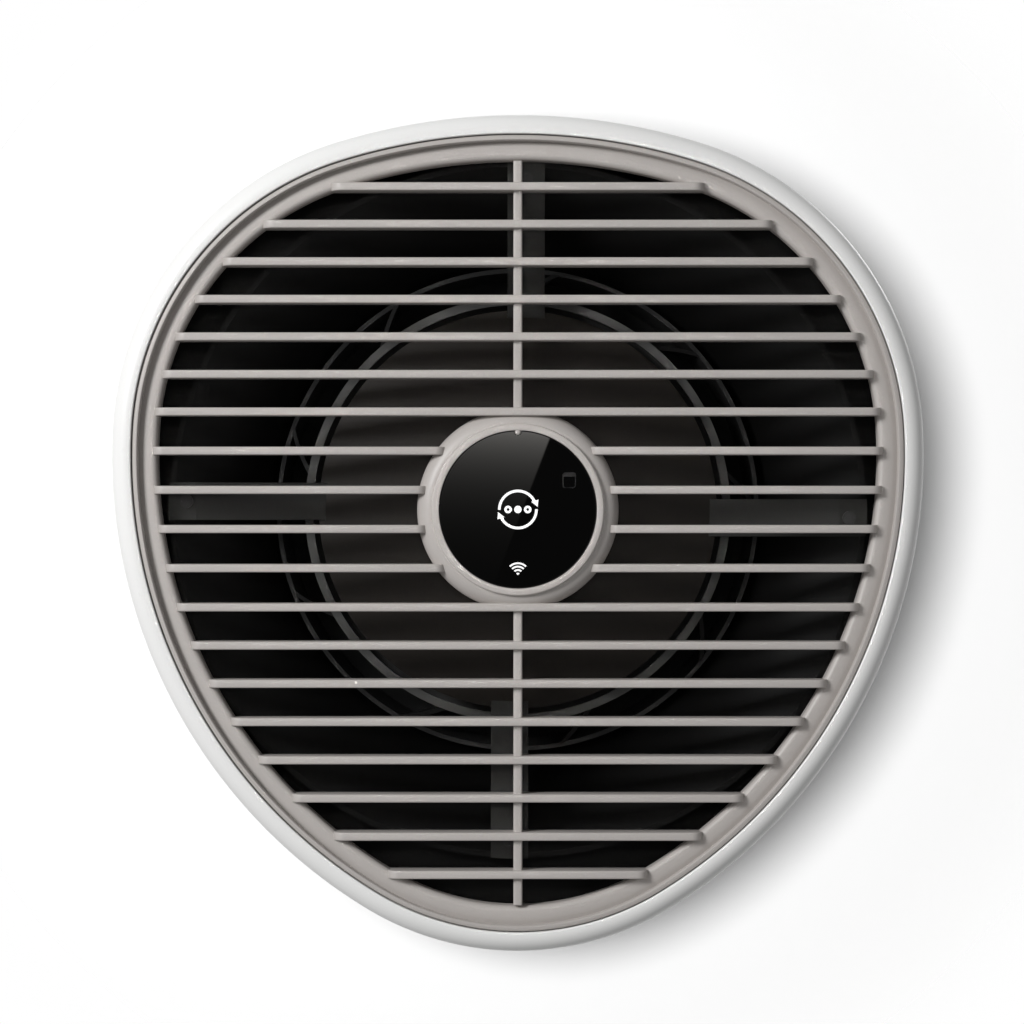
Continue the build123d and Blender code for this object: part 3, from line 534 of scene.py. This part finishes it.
def metal(name, colour, roughness=0.3, drawn=(400, 8, 400), relief=0.1, spread=0.08):
    """Bare metal with fine drawing marks that run along the least scaled axis."""
    look = bpy.data.materials.new(name)
    look.use_nodes = True
    tree = look.node_tree
    shader = tree.nodes["Principled BSDF"]
    shader.inputs["Metallic"].default_value = 1
    shader.inputs["Base Color"].default_value = (*colour, 1)
    place = shade(tree, "ShaderNodeTexCoord").outputs["Object"]
    stretched = feed(tree, "ShaderNodeMapping", {"Vector": place, "Scale": drawn})
    marks = feed(tree, "ShaderNodeTexNoise", {"Vector": stretched, "Scale": 3.0, "Detail": 4.0})
    gloss = feed(tree, "ShaderNodeMapRange",
                 {"Value": marks, "To Min": roughness - spread, "To Max": roughness + spread})
    bump = feed(tree, "ShaderNodeBump", {"Strength": relief, "Distance": 0.02 * MM, "Height": marks})
    tree.links.new(gloss, shader.inputs["Roughness"])
    tree.links.new(bump, shader.inputs["Normal"])
    return look


dark_plastic = plastic("dark_plastic", (0.012, 0.011, 0.010), roughness=0.5, grain=0.3, specular=0.2)
board_green = plastic("board_green", (0.012, 0.085, 0.04),
                      roughness=0.3, grain=0.5, grain_size=1.2, mottle=0.25)
zinc = metal("zinc", (0.62, 0.62, 0.60), roughness=0.32)
ferrite = plastic("ferrite", (0.035, 0.035, 0.037), roughness=0.55, grain=0.8, grain_size=0.3, mottle=0.2)
dress(board_green, "display_board")
dress(dark_plastic, "display_housing")
dress(zinc, "housing_screws", "bowl_screws")
dress(ferrite, "grille_magnets", "supply_magnets")
spring_steel = metal("spring_steel", (0.56, 0.56, 0.57), roughness=0.24)
dress(spring_steel, "keeper_plates")


# Supply motor: a satin brown-black dome snapped over the carrier, whose four arms
# reach the bowl's lip like a pinwheel.  Behind it sit the wound stator, two bearings
# and the drawn steel rotor cup with its ferrite magnets.
dome_brown = plastic("dome_brown", (0.015, 0.0125, 0.0105),
                     roughness=0.5, grain=0.3, mottle=0.06, specular=0.12)
arm_grey = plastic("arm_grey", (0.018, 0.018, 0.017), roughness=0.5, grain=0.3, specular=0.15)
black_oxide = plastic("black_oxide", (0.02, 0.02, 0.02), roughness=0.5, grain=0.3, specular=0.2)
dress(dome_brown, "motor_dome")
dress(arm_grey, "motor_carrier")
dress(black_oxide, "strut_screws")
bearing_steel = metal("bearing_steel", (0.66, 0.66, 0.67), roughness=0.16, drawn=(40, 900, 40))
dress(bearing_steel, "supply_bearings", "supply_shaft", "exhaust_bearings", "exhaust_shaft")
cup_steel = metal("cup_steel", (0.45, 0.45, 0.46), roughness=0.33, drawn=(20, 700, 20), relief=0.2)
dress(cup_steel, "supply_rotor_cup", "exhaust_rotor_cup")


def laminated(name, colour, pitch):
    """Stack of punched sheets: thin dark lines every pitch along the duct axis."""
    look = metal(name, colour, roughness=0.4)
    tree = look.node_tree
    shader = tree.nodes["Principled BSDF"]
    place = shade(tree, "ShaderNodeTexCoord").outputs["Object"]
    lines = feed(tree, "ShaderNodeTexWave", {"Vector": place, "Scale": pi / 10 / pitch},
                 bands_direction="Y", wave_profile="SAW")
    tint = shade(tree, "ShaderNodeValToRGB")
    tint.color_ramp.elements[0].color = [c * 0.25 for c in colour] + [1]
    tint.color_ramp.elements[1].position = 0.3
    tint.color_ramp.elements[1].color = [*colour, 1]
    tree.links.new(lines, tint.inputs["Fac"])
    tree.links.new(tint.outputs["Color"], shader.inputs["Base Color"])
    return look


stack_steel = laminated("stack_steel", (0.33, 0.33, 0.34), 0.5 * MM)
dress(stack_steel, "supply_stator", "exhaust_stator")
copper = laminated("copper", (0.62, 0.24, 0.10), 0.45 * MM)
dress(copper, "supply_windings", "exhaust_windings")


# Supply air path: the black bowl that turns the air out through the grille, the duct
# that feeds the wheel's eye, and the mixed-flow wheel with nine swept blades.
bowl_black = plastic("bowl_black", (0.0055, 0.0054, 0.0053),
                     roughness=0.55, grain=0.3, mottle=0.08, specular=0.08)
dress(bowl_black, "diffuser_bowl", "inlet_duct", "contact_plug")
wheel_grey = plastic("wheel_grey", (0.075, 0.075, 0.073),
                     roughness=0.45, grain=0.2, mottle=0.05, specular=0.2)
shroud_grey = plastic("shroud_grey", (0.022, 0.022, 0.022),
                      roughness=0.5, grain=0.2, mottle=0.05, specular=0.12)
dress(wheel_grey, "supply_impeller", "exhaust_impeller")
dress(shroud_grey, "supply_blades", "supply_shroud")
rubber = plastic("rubber", (0.02, 0.02, 0.02),
                 roughness=0.75, grain=0.6, grain_size=0.8, mottle=0.1, specular=0.25)
dress(rubber, "duct_seal", "plate_seal", "cable_grommet", "core_seal", "core_end_seal")


# Extract filter: a pleated ring in a moulded frame behind the bowl.
frame_white = plastic("frame_white", (0.66, 0.66, 0.645), roughness=0.5, grain=0.3)
felt = plastic("felt", (0.74, 0.74, 0.71),
               roughness=0.9, grain=1.0, grain_size=0.5, mottle=0.08, specular=0.1)
dress(frame_white, "filter_frame")
dress(felt, "filter_pleats")


# Exchanger core: a round casing with grids at both ends, a stack of thin plates
# between them and a strap handle for pulling it out of the wall sleeve.
film = plastic("film", (0.52, 0.56, 0.60), roughness=0.35, grain=0.4, grain_size=1.5)
dress(frame_white, "core_casing", "core_room_grid", "core_outer_grid", "core_handle")
dress(film, "core_plates")


# Wall side: the plate on its seal, spring clips for the shell, the terminal block and
# power board, and the sleeve through the wall.
pipe_grey = plastic("pipe_grey", (0.56, 0.56, 0.545), roughness=0.36, grain=0.25, grain_size=2.0, mottle=0.03)
dress(frame_white, "wall_plate")
dress(pipe_grey, "wall_sleeve", "exhaust_duct", "exhaust_carrier")
dress(spring_steel, "plate_clips")
dress(board_green, "power_board")
dress(dark_plastic, "board_parts", "contact_socket", "terminal_block")
dress(zinc, "terminal_screws", "hood_screws")
dress(ferrite, "exhaust_magnets")


# Outdoor end: coarse fresh-air filter ring, insect mesh, and the powder-coated hood
# with sloping louvres.
foam = plastic("foam", (0.06, 0.06, 0.063),
               roughness=0.95, grain=1.0, grain_size=1.1, mottle=0.35, specular=0.1)
powder = plastic("powder", (0.62, 0.62, 0.61), roughness=0.42, grain=0.7, grain_size=0.7, mottle=0.02)
mesh_steel = metal("mesh_steel", (0.5, 0.5, 0.5), roughness=0.3)
dress(foam, "fresh_filter")
dress(powder, "hood_base", "hood_cover", "hood_louvres")
dress(mesh_steel, "hood_mesh")


# Stage: a white wall behind the room unit that keeps its soft shadow and fades out
# round it, a white surround, and a dark card with a lit corner that the display
# reflects.  One soft lamp from the left lights the object and another the wall.
def radial_fade(tree, inner, outer):
    """1 inside the inner radius, falling smoothly to 0 at the outer one."""
    place = shade(tree, "ShaderNodeTexCoord").outputs["Object"]
    split = shade(tree, "ShaderNodeSeparateXYZ")
    tree.links.new(place, split.inputs["Vector"])
    flat = feed(tree, "ShaderNodeCombineXYZ", {"X": split.outputs["X"], "Y": split.outputs["Z"], "Z": 0})
    reach = shade(tree, "ShaderNodeVectorMath", operation="LENGTH")
    tree.links.new(flat, reach.inputs[0])
    return feed(tree, "ShaderNodeMapRange", {
        "Value": reach.outputs["Value"], "From Min": inner, "From Max": outer, "To Min": 1.0, "To Max": 0.0},
        interpolation_type="SMOOTHSTEP")


WALL_R = 0.27
FADE_FROM = 0.19
BORE_R = 0.101
wall_paint = bpy.data.materials.new("wall_paint")
wall_paint.use_nodes = True
tree = wall_paint.node_tree
tree.nodes["Principled BSDF"].inputs["Base Color"].default_value = (0.95, 0.95, 0.95, 1)
tree.nodes["Principled BSDF"].inputs["Roughness"].default_value = 0.9
tree.nodes["Principled BSDF"].inputs["Specular IOR Level"].default_value = 0.0
clear = shade(tree, "ShaderNodeBsdfTransparent").outputs[0]
behind = shade(tree, "ShaderNodeNewGeometry").outputs["Backfacing"]
shown = sums(tree, "MULTIPLY", radial_fade(tree, FADE_FROM, WALL_R), sums(tree, "SUBTRACT", 1, behind))
mix = feed(tree, "ShaderNodeMixShader", {0: shown, 1: clear, 2: tree.nodes["Principled BSDF"].outputs[0]})
tree.links.new(mix, tree.nodes["Material Output"].inputs["Surface"])
SIDES = 128
turns = [2 * pi * k / SIDES for k in range(SIDES)]
rings = [(radius * cos(turn), 0, radius * sin(turn)) for radius in (WALL_R, BORE_R) for turn in turns]
wall_mesh = bpy.data.meshes.new("wall")
wall_mesh.from_pydata(rings, [], [(k, (k + 1) % SIDES, SIDES + (k + 1) % SIDES, SIDES + k)
                                  for k in range(SIDES)])
wall_mesh.materials.append(wall_paint)
wall = bpy.data.objects.new("wall", wall_mesh)
bpy.context.scene.collection.objects.link(wall)

world = bpy.data.worlds.new("surround")
bpy.context.scene.world = world
world.use_nodes = True
tree = world.node_tree
tree.nodes.clear()
path = shade(tree, "ShaderNodeLightPath").outputs
seen = sums(tree, "MAXIMUM", sums(tree, "MAXIMUM", path["Is Camera Ray"], path["Is Glossy Ray"]),
            path["Is Transmission Ray"])
AMBIENT = 0.23
level = feed(tree, "ShaderNodeMapRange", {"Value": seen, "To Min": AMBIENT, "To Max": 1.0})
sky = feed(tree, "ShaderNodeBackground", {"Color": (1, 1, 1, 1), "Strength": level})
tree.links.new(sky, shade(tree, "ShaderNodeOutputWorld").inputs["Surface"])

CAMERA_AT = Vector((-2.1, -1300, -0.9)) * MM
card_y = CAMERA_AT.y - 0.1
half = 0.16
card_mesh = bpy.data.meshes.new("card")
card_mesh.from_pydata([(-half, 0, -half), (half, 0, -half), (half, 0, half), (-half, 0, half)],
                      [], [(0, 1, 2, 3)])
card_look = bpy.data.materials.new("card")
card_look.use_nodes = True
tree = card_look.node_tree
tree.nodes.remove(tree.nodes["Principled BSDF"])
split = shade(tree, "ShaderNodeSeparateXYZ")
tree.links.new(shade(tree, "ShaderNodeTexCoord").outputs["Object"], split.inputs["Vector"])
EDGE_LEAN = 0.381                           # the lit part ends at a slanting line
EDGE_X = 0.0053                             # where that line crosses mid height
edge_at = sums(tree, "ADD", sums(tree, "MULTIPLY", split.outputs["Z"], EDGE_LEAN), EDGE_X)
left_of = sums(tree, "SUBTRACT", edge_at, split.outputs["X"])
lit = feed(tree, "ShaderNodeMapRange", {"Value": left_of, "From Min": -0.0006, "From Max": 0.0006})
RISE = 50.0                                 # growth of the lit part's glow per metre of height
glow = sums(tree, "EXPONENT", sums(tree, "MULTIPLY", split.outputs["Z"], RISE))
near = feed(tree, "ShaderNodeMapRange", {"Value": left_of, "From Min": 0.0, "From Max": 0.06,
                                         "To Min": 0.14, "To Max": 0.115})
strength = sums(tree, "ADD", sums(tree, "MULTIPLY", lit, sums(tree, "MULTIPLY", near, glow)), 0.02)
shine = feed(tree, "ShaderNodeEmission", {"Color": (1, 0.97, 0.92, 1), "Strength": strength})
tree.links.new(shine, tree.nodes["Material Output"].inputs["Surface"])
card_mesh.materials.append(card_look)
card = bpy.data.objects.new("card", card_mesh)
card.location = (0, card_y, 0)
card.visible_camera = False
card.visible_diffuse = False
card.visible_shadow = False
card.visible_transmission = False
bpy.context.scene.collection.objects.link(card)
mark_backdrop(wall, card)


def soft_lamp(name, at, aim, width, power):
    data = bpy.data.lights.new(name, "AREA")
    data.shape = "DISK"
    data.size = width
    data.energy = power
    made = bpy.data.objects.new(name, data)
    made.location = at
    made.rotation_euler = (Vector(aim) - Vector(at)).to_track_quat("-Z", "Y").to_euler()
    bpy.context.scene.collection.objects.link(made)
    return made


def shine_on(lamp, state):
    """Let a lamp light the wall only (INCLUDE), or everything but the wall (EXCLUDE)."""
    group = bpy.data.collections.new(lamp.name + "_on")
    group.objects.link(wall)
    group.collection_objects[0].light_linking.link_state = state
    lamp.light_linking.receiver_collection = group


shine_on(soft_lamp("key", (-1.11, -1.27, 0.60), (0, -0.08, 0), 0.55, 24.5), "EXCLUDE")
shine_on(soft_lamp("outdoor_fill", (1.1, 1.7, 0.8), (0, 0.2, 0), 0.6, 24), "EXCLUDE")
shine_on(soft_lamp("wall_wash", (-0.30, -1.9, 0.08), (0, 0, 0), 0.5, 30.5), "INCLUDE")

lens = bpy.data.cameras.new("camera")
lens.sensor_width = 36
lens.lens = 118.35
lens.clip_end = 20
camera = bpy.data.objects.new("camera", lens)
camera.location = CAMERA_AT
camera.rotation_euler = (pi / 2, 0, 0)
bpy.context.scene.collection.objects.link(camera)
bpy.context.scene.camera = camera
bpy.context.scene.view_settings.view_transform = "Standard"

low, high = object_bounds()
